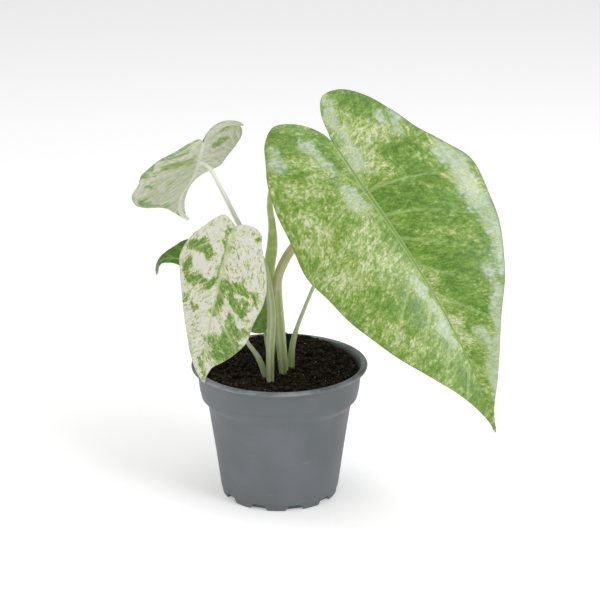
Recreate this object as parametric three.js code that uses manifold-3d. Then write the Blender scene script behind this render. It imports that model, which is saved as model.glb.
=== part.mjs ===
// A young camouflage giant taro in a 12 cm nursery pot.
// Millimetres, +Z up. The origin is on the pot's axis, on the surface that the pot stands on.
// The plant is seen from the front, from -Y, with +X to the right.

import * as THREE from 'three';
import { mergeVertices } from 'three/addons/utils/BufferGeometryUtils.js';
import Module from 'manifold-3d';

const wasm = await Module();
wasm.setup();

// Pot: driving sizes of a moulded 12 cm nursery pot
const rimRadius = 60;
const potHeight = 93.3;
const baseRadius = 40.6;
const wall = 1.2;
const floorThickness = 1.2;
const floorLift = 2;
const collarHeight = 18;
const potSegments = 60;
const notchCount = 10;
const notchWidth = 12;
const notchTopWidth = 8;
const notchHeight = 3.9;
const notchReach = 35.5;
const firstNotch = 15;

// Soil: the level under the lip at the front, and how far it heaps up to the back
const fit = 0.3;
const soilLevel = 89;
const soilSlope = 0.07;
const soilSegments = 40;
const rootDepth = 16;

// Leaves: thicknesses of blade and midrib, and the gap left where a stalk meets its blade
const bladeThickness = 1;
const ribWidth = 3.4;
const ribDepth = 1.4;
const jointGap = 0.35;

const radians = THREE.MathUtils.degToRad;

// A smooth value at y from a short list of [y, value], level beyond its ends
function along(table, y) {
  const last = table.length - 1;
  if (y <= table[0][0] || last === 0) return table[0][1];
  if (y >= table[last][0]) return table[last][1];
  const i = table.findIndex(([place]) => place > y) - 1;
  const slope = (a, b) => (table[b][1] - table[a][1]) / (table[b][0] - table[a][0]);
  const step = table[i + 1][0] - table[i][0];
  const before = slope(Math.max(i - 1, 0), i + 1) * step;
  const after = slope(i, Math.min(i + 2, last)) * step;
  const t = (y - table[i][0]) / step;
  return (
    (2 * t ** 3 - 3 * t ** 2 + 1) * table[i][1] +
    (t ** 3 - 2 * t ** 2 + t) * before +
    (3 * t ** 2 - 2 * t ** 3) * table[i + 1][1] +
    (t ** 3 - t ** 2) * after
  );
}

// The six leaves. A blade is first drawn flat, seen from above with its tip ahead:
// x runs to its right, y runs along the midrib to the tip, and the stalk joins at 0, 0.
// Margins run from the sinus between the lobes to the tip. Then it is bent and placed:
// lift is the rise of each half from the midrib in degrees, curl is the further turn
// from midrib to margin, droop is the midrib's fall below its first direction.
const leaves = {
  big_leaf: {
    at: [57, -28, 221],
    heading: -47,
    pitch: -38,
    roll: -14,
    width: 68,
    sinus: [-3, -42],
    tip: [3, 177],
    right: [
      [-1, -51], [4, -60], [14, -69], [25, -73], [36, -66], [44, -53], [52, -39], [56, -26],
      [60, -8], [64, 16], [65, 36], [60, 58], [53, 82], [43, 104], [28, 128], [14, 149], [6, 166],
    ],
    left: [
      [-5, -54], [-9, -67], [-17, -77], [-29, -75], [-41, -61], [-49, -42], [-54, -22],
      [-63, -6], [-70, 12], [-70, 30], [-66, 48], [-58, 70], [-48, 90], [-33, 111], [-20, 133],
      [-10, 150], [-2, 163],
    ],
    liftRight: [[0, 1]],
    liftLeft: [[0, 23]],
    curlRight: -42,
    curlLeft: -14,
    droop: [[-75, -5], [0, 0], [177, 26]],
    twist: [[-75, 2], [0, 0], [177, -5]],
    wave: [1.2, 4],
    rows: 32,
    columns: 6,
    color: 0x6f9b3a,
    stalk: {
      color: 0x8f9a5c,
      sides: 12,
      steps: 22,
      path: [
        [3, -9, 88], [1, -9, 113], [-1, -8, 141], [-1, -8, 155], [3, -9, 167], [10, -11, 179],
        [22, -14, 191], [40, -18, 205],
      ],
      radius: [[0, 3.1], [0.3, 3.6], [0.42, 3.2], [0.6, 3.1], [1, 2.2]],
    },
  },
  pale_leaf: {
    at: [-53.7, 12, 232.3],
    heading: 102,
    pitch: -39.5,
    roll: 46,
    width: 44,
    sinus: [0, -28],
    tip: [9, 115],
    right: [
      [2, -36], [8, -50], [18, -52], [26, -42], [31, -25], [37, -8], [45, 5], [48, 14],
      [43, 28], [37, 44], [33, 58], [25, 66], [18, 73], [13, 84], [8, 95], [7, 106],
    ],
    left: [
      [-5, -37], [-11, -41], [-17, -41], [-27, -30], [-35, -11], [-40, 4], [-41, 17],
      [-46, 30], [-42, 40], [-31, 51], [-20, 64], [-11, 77], [-4, 90], [3, 104],
    ],
    liftRight: [[-48, -24], [0, 31], [50, 16], [90, 23]],
    liftLeft: [[-48, 4], [0, 16], [50, 4], [90, 30]],
    curlRight: -73,
    curlLeft: 42,
    droop: [[-48, -2], [0, 0], [45, -9], [80, 5], [100, 13], [115, -6]],
    twist: [[0, 0]],
    wave: [0.8, 3],
    rows: 26,
    columns: 6,
    color: 0xa9b58a,
    stalk: {
      color: 0xc9d2ab,
      sides: 10,
      steps: 20,
      path: [
        [-6, -20, 86], [-6, -19, 109], [-5, -17, 130], [-6, -14, 146], [-9, -9, 163],
        [-16, -4, 177], [-26, 1, 190], [-37, 6, 211],
      ],
      radius: [[0, 2.4], [0.35, 2.9], [0.48, 2.2], [0.6, 1.9], [1, 1.3]],
    },
  },
  front_leaf: {
    at: [-30, -34, 193],
    heading: -138,
    pitch: -67,
    roll: 30,
    width: 33,
    sinus: [0, -6],
    tip: [-2, 104],
    right: [
      [4, -10], [9, -12], [14, -9], [20, -2], [27, 7], [31, 16], [32, 23], [29, 32], [25, 43],
      [21, 55], [15, 71], [10, 85], [5, 95],
    ],
    left: [
      [-4, -9], [-9, -10], [-15, -9], [-19, -6], [-21, 0], [-25, 8], [-29, 16], [-32, 27],
      [-32, 39], [-29, 52], [-27, 65], [-21, 75], [-14, 83], [-7, 90], [-4, 97],
    ],
    liftRight: [[0, 0]],
    liftLeft: [[0, 4]],
    curlRight: -10,
    curlLeft: -10,
    droop: [[-12, -3], [0, 0], [104, 30]],
    twist: [[0, 0]],
    wave: [0.7, 3],
    rows: 22,
    columns: 5,
    color: 0xd5dcc0,
    stalk: {
      color: 0xa9bb7c,
      sides: 8,
      steps: 16,
      path: [
        [-10, -12, 88], [-14, -13, 101], [-22, -14, 114], [-29, -15, 132], [-33, -18, 154],
        [-34, -23, 172],
      ],
      radius: [[0, 1.8], [0.2, 2], [0.3, 1.5], [1, 1.2]],
    },
  },
  small_leaf: {
    at: [-15, 6, 137],
    heading: 168,
    pitch: 23,
    roll: 21,
    width: 30,
    sinus: [0, -9],
    tip: [0, 88],
    right: [
      [3, -8], [8, -5], [14, 0], [20, 8], [25, 20], [27, 34], [25, 48], [17, 60],
      [8, 68], [3, 78],
    ],
    left: [
      [-5, -13], [-12, -16], [-19, -15], [-22, -9], [-22, 3], [-18, 19], [-12, 35], [-6, 48],
      [-4, 60], [-2.5, 73],
    ],
    liftRight: [[0, 25]],
    liftLeft: [[-10, -30], [20, -30], [60, -21]],
    curlRight: -28,
    curlLeft: -19,
    droop: [[-30, -10], [0, 0], [48, -3], [66, 33], [73, 58], [84, 100]],
    twist: [[0, 0]],
    wave: [0.5, 3],
    rows: 18,
    columns: 4,
    color: 0x5f8f3c,
    stalk: {
      color: 0xa5b878,
      sides: 8,
      steps: 12,
      path: [[-6, -2, 88], [-8, 1, 103], [-11, 6, 117]],
      radius: [[0, 1.6], [0.4, 1.4], [1, 1.1]],
    },
  },
  rear_leaf: {
    at: [38, 27, 172],
    heading: 30,
    pitch: -22,
    roll: -8,
    width: 26,
    sinus: [0, -15],
    tip: [0, 70],
    right: [
      [1, -21], [6, -28], [13, -29], [19, -21], [23, -8], [26, 8], [24, 22], [18, 38], [10, 53],
      [4, 63],
    ],
    left: [
      [-1, -21], [-6, -28], [-13, -29], [-19, -21], [-23, -8], [-26, 8], [-24, 22], [-18, 38],
      [-10, 53], [-4, 63],
    ],
    liftRight: [[0, 12]],
    liftLeft: [[0, 12]],
    curlRight: -30,
    curlLeft: -30,
    droop: [[-30, -8], [0, 0], [70, 40]],
    twist: [[0, 0]],
    wave: [0.5, 3],
    rows: 16,
    columns: 4,
    color: 0x6a9440,
    stalk: {
      color: 0xa7bb7e,
      sides: 10,
      steps: 18,
      path: [[8, 3, 89], [9, 3, 105], [12, 4, 117], [17, 6, 130], [24, 10, 146], [32, 17, 160]],
      radius: [[0, 2.7], [0.33, 1.9], [0.42, 1.4], [1, 1.1]],
    },
  },
};

// The youngest leaf is still rolled: a slim roll with one open edge along it
const newLeaf = {
  color: 0x7fa848,
  sides: 12,
  steps: 20,
  path: [
    [-5, 22, 87], [-5, 22, 112], [-6, 22, 140], [-6.5, 22, 156], [-5, 22, 170], [-5, 22, 184],
    [-6.5, 22, 198], [-5.5, 22, 209], [-2, 22, 218],
  ],
  radius: [[0, 2], [0.35, 2.2], [0.5, 3.2], [0.62, 3.8], [0.78, 2.4], [0.93, 1.5], [1, 0.7]],
  overlap: 0.22,
};

// Unit vectors of a placed blade: across to its right, along to its tip, and up from its face
function bladeAxes(leaf) {
  const heading = radians(leaf.heading);
  const pitch = radians(leaf.pitch);
  const roll = radians(leaf.roll);
  const along = new THREE.Vector3(
    Math.cos(pitch) * Math.cos(heading),
    Math.cos(pitch) * Math.sin(heading),
    Math.sin(pitch),
  );
  const level = new THREE.Vector3(Math.sin(heading), -Math.cos(heading), 0);
  const upright = new THREE.Vector3().crossVectors(level, along);
  const across = level.clone().multiplyScalar(Math.cos(roll)).addScaledVector(upright, Math.sin(roll));
  const up = new THREE.Vector3().crossVectors(across, along);
  return { across, along, up };
}

// The drooping midrib as run and fall at every millimetre of its length
function droopedMidrib(leaf) {
  const first = Math.floor(leaf.droop[0][0]) - 10;
  const last = Math.ceil(leaf.tip[1]) + 10;
  const places = [];
  let run = 0;
  let fall = 0;
  for (let y = first; y <= last; y++) {
    const angle = radians(along(leaf.droop, y));
    places.push({ run, fall, angle });
    const ahead = radians(along(leaf.droop, y + 0.5));
    run += Math.cos(ahead);
    fall -= Math.sin(ahead);
  }
  const zero = places[-first];
  return (y) => {
    const i = Math.min(Math.floor(y) - first, places.length - 2);
    const t = y - first - i;
    const between = (key) => places[i][key] * (1 - t) + places[i + 1][key] * t;
    return { run: between('run') - zero.run, fall: between('fall') - zero.fall, angle: between('angle') };
  };
}

// The midrib's sideways place at y: straight but for the bend to the sinus and to the tip
function midribX(leaf, y) {
  const sway = [leaf.sinus.toReversed(), [0, 0], [leaf.tip[1] * 0.75, 0], leaf.tip.toReversed()];
  return along(sway, y);
}

// A function from the flat blade to its bent shape in place
function bentBlade(leaf) {
  const axes = bladeAxes(leaf);
  const midrib = droopedMidrib(leaf);
  const [waveHeight, waveCount] = leaf.wave;
  return (x, y) => {
    const ribX = midribX(leaf, y);
    const reach = Math.abs(x - ribX);
    const side = x < ribX ? -1 : 1;
    const lift = radians(along(side > 0 ? leaf.liftRight : leaf.liftLeft, y));
    const curl = radians(side > 0 ? leaf.curlRight : leaf.curlLeft) / leaf.width;
    const out = side * (Math.sin(lift + curl * reach) - Math.sin(lift)) / curl;
    const phase = (2 * Math.PI * waveCount * y) / leaf.tip[1] + side;
    const rise =
      (Math.cos(lift) - Math.cos(lift + curl * reach)) / curl +
      waveHeight * (reach / leaf.width) ** 2 * Math.sin(phase);
    const twist = radians(along(leaf.twist, y));
    const across = (ribX + out) * Math.cos(twist) - rise * Math.sin(twist);
    const above = (ribX + out) * Math.sin(twist) + rise * Math.cos(twist);
    const { run, fall, angle } = midrib(y);
    return new THREE.Vector3(...leaf.at)
      .addScaledVector(axes.across, across)
      .addScaledVector(axes.along, run + above * Math.sin(angle))
      .addScaledVector(axes.up, fall + above * Math.cos(angle));
  };
}

// Closes a sheet into a solid: the same triangles on both faces, and a wall round its edge
function closedSheet(topPoints, bottomPoints, triangles) {
  const count = topPoints.length;
  const index = [];
  const edges = new Set();
  for (const [a, b, c] of triangles) {
    index.push(a, b, c, c + count, b + count, a + count);
    for (const [from, to] of [[a, b], [b, c], [c, a]]) edges.add(`${from} ${to}`);
  }
  for (const edge of edges) {
    const [from, to] = edge.split(' ').map(Number);
    if (edges.has(`${to} ${from}`)) continue;
    index.push(to, from, from + count, to, from + count, to + count);
  }
  const geometry = new THREE.BufferGeometry().setFromPoints([...topPoints, ...bottomPoints]);
  geometry.setIndex(index);
  return geometry;
}

// A blade. Its rows run from the midrib to the margin as the side veins do: from the stalk's
// end they fan out to both lobes, because half of the rows start on the way to the sinus.
function bladeGeometry(leaf) {
  const { rows, columns, sinus, tip } = leaf;
  const lobeRows = 0.5;
  const margin = (side) => {
    const points = [sinus, ...leaf[side], tip].map(([x, y]) => new THREE.Vector3(x, y, 0));
    return new THREE.CatmullRomCurve3(points);
  };
  const margins = { right: margin('right'), left: margin('left') };
  const flat = [];
  const number = new Map();
  const vertex = (side, i, j) => {
    const onRib = j === 0 || i === 0 || i === rows;
    const key = onRib ? `rib ${i}` : `${side} ${i} ${j}`;
    if (!number.has(key)) {
      number.set(key, flat.length);
      const part = i / rows;
      const y = part < lobeRows
        ? sinus[1] * (1 - part / lobeRows)
        : (tip[1] * (part - lobeRows)) / (1 - lobeRows);
      const rib = new THREE.Vector3(midribX(leaf, y), y, 0);
      if (i === 0 || i === rows) {
        flat.push({ place: rib, rib: 0 });
      } else if (j === 0) {
        flat.push({ place: rib, rib: ribDepth * (1 - 0.75 * Math.max(y, -2 * y) / tip[1]) });
      } else {
        const edge = margins[side].getPointAt(part);
        const first = Math.min(ribWidth / 2 / rib.distanceTo(edge), 0.4);
        const share = first + ((1 - first) * (j - 1)) / (columns - 1);
        flat.push({ place: rib.lerp(edge, share), rib: 0 });
      }
    }
    return number.get(key);
  };
  const triangles = [];
  for (const side of ['right', 'left']) {
    for (let i = 0; i < rows; i++) {
      for (let j = 0; j < columns; j++) {
        const [a, b] = [vertex(side, i, j), vertex(side, i, j + 1)];
        const [c, d] = [vertex(side, i + 1, j + 1), vertex(side, i + 1, j)];
        for (const triangle of [[a, b, c], [a, c, d]]) {
          if (new Set(triangle).size < 3) continue;
          triangles.push(side === 'right' ? triangle : triangle.toReversed());
        }
      }
    }
  }
  const surface = bentBlade(leaf);
  const reach = 0.5;
  const top = [];
  const bottom = [];
  for (const { place, rib } of flat) {
    const acrossBlade = surface(place.x + reach, place.y).sub(surface(place.x - reach, place.y));
    const alongBlade = surface(place.x, place.y + reach).sub(surface(place.x, place.y - reach));
    const normal = acrossBlade.cross(alongBlade).normalize();
    const middle = surface(place.x, place.y);
    top.push(middle.clone().addScaledVector(normal, bladeThickness / 2));
    bottom.push(middle.clone().addScaledVector(normal, -bladeThickness / 2 - rib));
  }
  return closedSheet(top, bottom, triangles);
}

// A round stem along a path, with a radius for each share of its length. An overlap makes
// its section a loose roll, whose outer edge stands proud of the inner one.
function stemGeometry(stem, extra = 0) {
  const curve = new THREE.CatmullRomCurve3(stem.path.map((point) => new THREE.Vector3(...point)));
  curve.points[0].z -= extra;
  const { sides, steps, overlap = 0 } = stem;
  const frames = curve.computeFrenetFrames(steps);
  const points = [];
  for (let i = 0; i <= steps; i++) {
    const centre = curve.getPointAt(i / steps);
    for (let j = 0; j < sides; j++) {
      const angle = (2 * Math.PI * j) / sides;
      const radius = along(stem.radius, i / steps) * (1 + overlap * (j / sides - 0.5)) + extra;
      points.push(
        centre.clone()
          .addScaledVector(frames.normals[i], radius * Math.cos(angle))
          .addScaledVector(frames.binormals[i], radius * Math.sin(angle)),
      );
    }
  }
  const index = [];
  for (let i = 0; i < steps; i++) {
    for (let j = 0; j < sides; j++) {
      const [a, b] = [i * sides + j, i * sides + ((j + 1) % sides)];
      index.push(a, b, b + sides, a, b + sides, a + sides);
    }
  }
  const [foot, head] = [points.length, points.length + 1];
  points.push(curve.getPointAt(0), curve.getPointAt(1));
  for (let j = 0; j < sides; j++) {
    const next = (j + 1) % sides;
    index.push(foot, next, j, head, steps * sides + j, steps * sides + next);
  }
  const geometry = new THREE.BufferGeometry().setFromPoints(points);
  geometry.setIndex(index);
  return geometry;
}

// A stem's path goes down into the soil, and a stalk's ends square under its blade
function rooted(path) {
  const [x, y, z] = path[0];
  return [[x, y, z - rootDepth], ...path];
}

function stalkOf(leaf) {
  const { up } = bladeAxes(leaf);
  const joint = bladeThickness / 2 + ribDepth + jointGap;
  const below = (distance) => new THREE.Vector3(...leaf.at).addScaledVector(up, -distance).toArray();
  return { ...leaf.stalk, path: [...rooted(leaf.stalk.path), below(joint + 7), below(joint)] };
}

// Booleans work on merged solids with no collapsed triangles
function solidOf(geometry) {
  const bare = geometry.clone();
  bare.deleteAttribute('normal');
  bare.deleteAttribute('uv');
  const merged = mergeVertices(bare, 1e-4);
  const index = [];
  for (let i = 0; i < merged.index.count; i += 3) {
    const triangle = [0, 1, 2].map((k) => merged.index.getX(i + k));
    if (new Set(triangle).size === 3) index.push(...triangle);
  }
  return new wasm.Manifold(new wasm.Mesh({
    numProp: 3,
    vertProperties: new Float32Array(merged.attributes.position.array),
    triVerts: new Uint32Array(index),
  }));
}

function geometryOf(solid) {
  const { vertProperties, triVerts } = solid.getMesh();
  const geometry = new THREE.BufferGeometry();
  geometry.setAttribute('position', new THREE.BufferAttribute(vertProperties, 3));
  geometry.setIndex(new THREE.BufferAttribute(triVerts, 1));
  return geometry;
}

// A turned shape about +Z from [radius, height] points
function turned(profile, segments) {
  const points = profile.map(([radius, height]) => new THREE.Vector2(radius, height));
  return new THREE.LatheGeometry(points, segments).rotateX(Math.PI / 2);
}

// Pot: one thin-walled moulding with a flat lip, a collar and a notched foot ring.
// The floor's middle stands on the surface, with a raised channel round it.
const collarFoot = potHeight - collarHeight;
const innerWall = [
  [38.2, floorLift + floorThickness], [baseRadius - wall, 6], [48.2, 66], [52.3, 71],
  [53, collarFoot], [54.6, 88], [55.4, potHeight - 1],
];
const outerWall = [
  [39, 0], [39.6, 0.8], [39.8, 4.2], [baseRadius, 4.9], [49.4, 66.3], [53.5, 71],
  [54, collarFoot - 0.3], [54.5, collarFoot + 0.3], [56, 89.5], [59, 90.6], [rimRadius, 91.7],
  [rimRadius, 92.7], [59.3, potHeight], [56.3, potHeight],
];
const middleRadius = 22;
const channelRadius = 33;

function potGeometry() {
  const profile = [
    [0, 0], [middleRadius, 0], [middleRadius + 1.5, floorLift], [channelRadius, floorLift],
    [channelRadius + 1, 0], ...outerWall, ...innerWall.toReversed(),
    [0, floorLift + floorThickness],
  ];
  let pot = solidOf(turned(profile, potSegments));
  const notchOutline = new THREE.Shape([
    new THREE.Vector2(-notchWidth / 2, -1), new THREE.Vector2(notchWidth / 2, -1),
    new THREE.Vector2(notchWidth / 2, 0.8), new THREE.Vector2(notchTopWidth / 2, notchHeight),
    new THREE.Vector2(-notchTopWidth / 2, notchHeight), new THREE.Vector2(-notchWidth / 2, 0.8),
  ]);
  for (let i = 0; i < notchCount; i++) {
    const notch = new THREE.ExtrudeGeometry(notchOutline, { depth: 8, bevelEnabled: false })
      .rotateX(Math.PI / 2)
      .translate(0, -notchReach, 0)
      .rotateZ(radians(firstNotch + (360 / notchCount) * i));
    pot = pot.subtract(solidOf(notch));
  }
  return geometryOf(pot);
}

// Soil: fills the pot to just under its lip, heaped to the back, with a mound in front of
// the stems and a hollow to each side of them. The stems stand in plain holes in it.
function soilHeight(x, y) {
  const bump = (cx, cy, spread, height) =>
    height * Math.exp(-((x - cx) ** 2 + (y - cy) ** 2) / spread ** 2);
  return (
    soilLevel + soilSlope * y +
    bump(4, 50, 26, 3.4) + bump(16, -20, 13, 2.2) + bump(-32, -2, 17, -3) + bump(34, 6, 16, -2.6) +
    0.7 * Math.sin(0.31 * x + 1) * Math.sin(0.27 * y)
  );
}

function soilGeometry(stems) {
  const side = innerWall
    .filter(([, height]) => height < 88)
    .map(([radius, height]) => [radius - fit, height + fit]);
  const brim = [54, 86];
  const rings = [52.5, 46, 39, 32, 25, 18, 11, 5, 0].map((radius) => [radius, soilLevel]);
  const profile = [[0, side[0][1]], ...side, brim, ...rings];
  const geometry = turned(profile, soilSegments);
  const place = geometry.attributes.position;
  for (let i = 0; i < place.count; i++) {
    if (place.getZ(i) < soilLevel - 0.01) continue;
    place.setZ(i, soilHeight(place.getX(i), place.getY(i)));
  }
  let soil = solidOf(geometry);
  for (const stem of stems) soil = soil.subtract(solidOf(stemGeometry(stem, fit)));
  return geometryOf(soil);
}

const plant = new THREE.Group();

function add(name, geometry, color, roughness) {
  const material = new THREE.MeshStandardMaterial({ color, roughness, metalness: 0 });
  const mesh = new THREE.Mesh(geometry, material);
  mesh.name = name;
  plant.add(mesh);
}

const stems = [];
for (const [name, leaf] of Object.entries(leaves)) {
  const stalk = stalkOf(leaf);
  stems.push(stalk);
  add(`${name}_blade`, bladeGeometry(leaf), leaf.color, 0.4);
  add(`${name}_stalk`, stemGeometry(stalk), leaf.stalk.color, 0.45);
}
const roll = { ...newLeaf, path: rooted(newLeaf.path) };
stems.push(roll);
add('new_leaf_roll', stemGeometry(roll), newLeaf.color, 0.4);
add('soil', soilGeometry(stems), 0x2a211b, 1);
add('pot', potGeometry(), 0x747b80, 0.6);

export default plant;
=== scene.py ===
import math
import random

import bpy
import numpy as np
from mathutils import Matrix, Vector, noise


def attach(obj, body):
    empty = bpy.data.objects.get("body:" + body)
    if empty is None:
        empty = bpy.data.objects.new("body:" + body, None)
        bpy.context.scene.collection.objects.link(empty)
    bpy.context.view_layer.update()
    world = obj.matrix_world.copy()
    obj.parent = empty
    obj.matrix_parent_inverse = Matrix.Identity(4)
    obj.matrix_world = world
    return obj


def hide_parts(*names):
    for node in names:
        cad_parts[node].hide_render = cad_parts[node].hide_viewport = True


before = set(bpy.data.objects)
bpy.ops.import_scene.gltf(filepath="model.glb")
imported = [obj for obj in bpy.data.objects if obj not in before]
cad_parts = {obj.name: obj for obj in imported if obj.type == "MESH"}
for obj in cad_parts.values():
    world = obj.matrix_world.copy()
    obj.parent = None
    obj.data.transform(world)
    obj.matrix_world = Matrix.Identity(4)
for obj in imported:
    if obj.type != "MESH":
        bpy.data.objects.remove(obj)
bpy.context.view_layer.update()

# A young camouflage giant taro in a 12 cm nursery pot.
# Blender's lengths are metres. Sizes are named in millimetres here, as in the CAD, and MM or
# mm() turns them to metres.
MM = 0.001


def mm(*sizes):
    return tuple(size * MM for size in sizes)


# Camera: a long lens a little above the plant, as in the photograph
AIM = Vector(mm(14, 0, 138))
CAMERA_DISTANCE = 1.3
CAMERA_RISE = math.radians(18.5)
SENSOR = 36.0
LENS = 115.7


def set_camera():
    data = bpy.data.cameras.new("camera")
    data.lens = LENS
    data.sensor_width = SENSOR
    data.sensor_fit = "HORIZONTAL"
    camera = bpy.data.objects.new("camera", data)
    bpy.context.collection.objects.link(camera)
    away = Vector((0, -math.cos(CAMERA_RISE), math.sin(CAMERA_RISE)))
    camera.location = AIM + away * CAMERA_DISTANCE
    camera.rotation_euler = (-away).to_track_quat("-Z", "Y").to_euler()
    bpy.context.scene.camera = camera
    bpy.context.scene.view_settings.view_transform = "Standard"


def linear(code):
    """A colour's sRGB hex code as linear red, green, blue and alpha."""
    parts = [int(code[i:i + 2], 16) / 255 for i in (1, 3, 5)]
    return [p / 12.92 if p <= 0.04045 else ((p + 0.055) / 1.055) ** 2.4 for p in parts] + [1.0]


# Settings of the nodes that are used most
MIX = {"data_type": "RGBA"}
EASE = {"interpolation_type": "SMOOTHSTEP"}
TIMES = {"operation": "MULTIPLY"}
TIMES_PLUS = {"operation": "MULTIPLY_ADD"}


class Finish:
    """A material that is built node by node, with its shader at the end."""

    def __init__(self, name):
        self.material = bpy.data.materials.new(name)
        self.material.use_nodes = True
        self.tree = self.material.node_tree
        self.shader = self.tree.nodes["Principled BSDF"]

    def add(self, kind, settings=None, out=0, **inputs):
        """Adds a node and gives one of its outputs. An input is the socket's name with _ for
        a space, or i0, i1 for its number."""
        node = self.tree.nodes.new("ShaderNode" + kind)
        for key, value in (settings or {}).items():
            setattr(node, key, value)
        for key, value in inputs.items():
            numbered = key[0] == "i" and key[1:].isdigit()
            self.join(value, node.inputs[int(key[1:]) if numbered else key.replace("_", " ")])
        return node.outputs[out]

    def join(self, value, socket):
        if isinstance(value, bpy.types.NodeSocket):
            self.tree.links.new(value, socket)
        elif isinstance(value, str):
            socket.default_value = linear(value)
        else:
            socket.default_value = value

    def set(self, **inputs):
        for key, value in inputs.items():
            self.join(value, self.shader.inputs[key.replace("_", " ")])


# Modelling helpers
MERGE_GAP = 0.01


def deselect():
    if bpy.context.object and bpy.context.object.mode != "OBJECT":
        bpy.ops.object.mode_set(mode="OBJECT")
    bpy.ops.object.select_all(action="DESELECT")


def pick(piece):
    deselect()
    piece.select_set(True)
    bpy.context.view_layer.objects.active = piece


def places(piece):
    points = np.empty(len(piece.data.vertices) * 3)
    piece.data.vertices.foreach_get("co", points)
    return points.reshape(-1, 3)


def move_to(piece, points):
    piece.data.vertices.foreach_set("co", np.ascontiguousarray(points, dtype=float).ravel())
    piece.data.update()


def apply_modifiers(piece):
    bpy.context.view_layer.objects.active = piece
    for modifier in list(piece.modifiers):
        bpy.ops.object.modifier_apply(modifier=modifier.name)


def clean(piece):
    """Merges doubled points and turns every face outwards."""
    pick(piece)
    bpy.ops.object.mode_set(mode="EDIT")
    bpy.ops.mesh.select_all(action="SELECT")
    bpy.ops.mesh.remove_doubles(threshold=MERGE_GAP * MM)
    bpy.ops.mesh.select_all(action="SELECT")
    bpy.ops.mesh.normals_make_consistent(inside=False)
    bpy.ops.object.mode_set(mode="OBJECT")


def smooth(piece, angle=60):
    pick(piece)
    bpy.ops.object.shade_smooth_by_angle(angle=math.radians(angle))


def store(piece, name, values):
    """Keeps one number, or one vector, for each point of the piece."""
    values = np.ascontiguousarray(values, dtype=float)
    kind, field = ("FLOAT", "value") if values.ndim == 1 else ("FLOAT_VECTOR", "vector")
    layer = piece.data.attributes.new(name, kind, "POINT")
    layer.data.foreach_set(field, values.ravel())


def flat_grid(name, across, lengthways):
    """A flat grid from -1 to 1, whose points a formula then moves."""
    deselect()
    bpy.ops.mesh.primitive_grid_add(x_subdivisions=across, y_subdivisions=lengthways, size=2)
    piece = bpy.context.object
    piece.name = piece.data.name = name
    return piece


def finish_piece(piece, node, slot, *finishes):
    """Gives a piece its finishes, puts it under the root and hides the CAD node that it stands for.
    slot is not used.
    """
    for finish in finishes:
        piece.data.materials.append(finish)
    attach(piece, "root")
    if node:
        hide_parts(node)


# Curves through a few points
def eased(table, y):
    """A smooth value at each y from a short list of (y, value), level beyond its ends."""
    table = np.array(table, float)
    if len(table) == 1:
        return np.full(np.shape(y), table[0, 1])
    at, value = table[:, 0], table[:, 1]
    last = len(table) - 1
    y = np.clip(y, at[0], at[-1])
    i = np.clip(np.searchsorted(at, y, side="right") - 1, 0, last - 1)
    before, after = np.maximum(i - 1, 0), np.minimum(i + 2, last)
    step = at[i + 1] - at[i]
    start = (value[i + 1] - value[before]) / (at[i + 1] - at[before]) * step
    end = (value[after] - value[i]) / (at[after] - at[i]) * step
    t = (y - at[i]) / step
    return ((2 * t**3 - 3 * t**2 + 1) * value[i] + (t**3 - 2 * t**2 + t) * start
            + (3 * t**2 - 2 * t**3) * value[i + 1] + (t**3 - t**2) * end)


def curve(points, shares, samples=24):
    """Places at equal shares of the length of a smooth curve through points."""
    p = np.array(points, float)
    p = np.vstack([2 * p[0] - p[1], p, 2 * p[-1] - p[-2]])
    line = []
    for i in range(1, len(p) - 2):
        a, b, c = (max(np.linalg.norm(p[i + k] - p[i + k - 1]) ** 0.5, 1e-6) for k in range(3))
        start = (p[i] - p[i - 1]) / a - (p[i + 1] - p[i - 1]) / (a + b) + (p[i + 1] - p[i]) / b
        end = (p[i + 1] - p[i]) / b - (p[i + 2] - p[i]) / (b + c) + (p[i + 2] - p[i + 1]) / c
        t = np.linspace(0, 1, samples, endpoint=False)[:, None]
        line.append((2 * t**3 - 3 * t**2 + 1) * p[i] + (t**3 - 2 * t**2 + t) * start * b
                    + (3 * t**2 - 2 * t**3) * p[i + 1] + (t**3 - t**2) * end * b)
    line = np.vstack(line + [p[-2:-1]])
    length = np.concatenate([[0], np.cumsum(np.linalg.norm(np.diff(line, axis=0), axis=1))])
    wanted = np.asarray(shares) * length[-1]
    return np.stack([np.interp(wanted, length, line[:, k]) for k in range(line.shape[1])], -1)


def lumps(points, size, seed):
    """Noise from -1 to 1 with lumps of so many millimetres, at places in millimetres."""
    shift = Vector((seed, seed * 2.3, seed * 0.7))
    return np.array([noise.noise(Vector(point) / size + shift) for point in points])


# Leaves, in millimetres and degrees. Each blade is first flat, seen from above with its tip
# ahead: x to its right, y along the midrib, the stalk at 0, 0. The values are those of the CAD.
# lift: each half's rise from the midrib. curl: its further turn to the margin.
# droop: the midrib's fall below its first direction. wave: the margin's height and how
# many waves it has. costa: where the lobes' two main veins end. vein_slope and vein_bow: how
# far the side veins lean forward at the stalk, and how much more towards the tip. drawn: how
# much the markings are drawn out along those veins, less being longer. Strokes are the
# markings that stand out: from one place to another on the flat blade, then how wide.
# The silver strokes are partly silvery markings and partly a painted sheen along the margin.
BLADE_THICKNESS = 1.0
VISIBLE_THICKNESS = 0.8
RIB_DEPTH = 1.3
JOINT_GAP = 0.35

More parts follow.
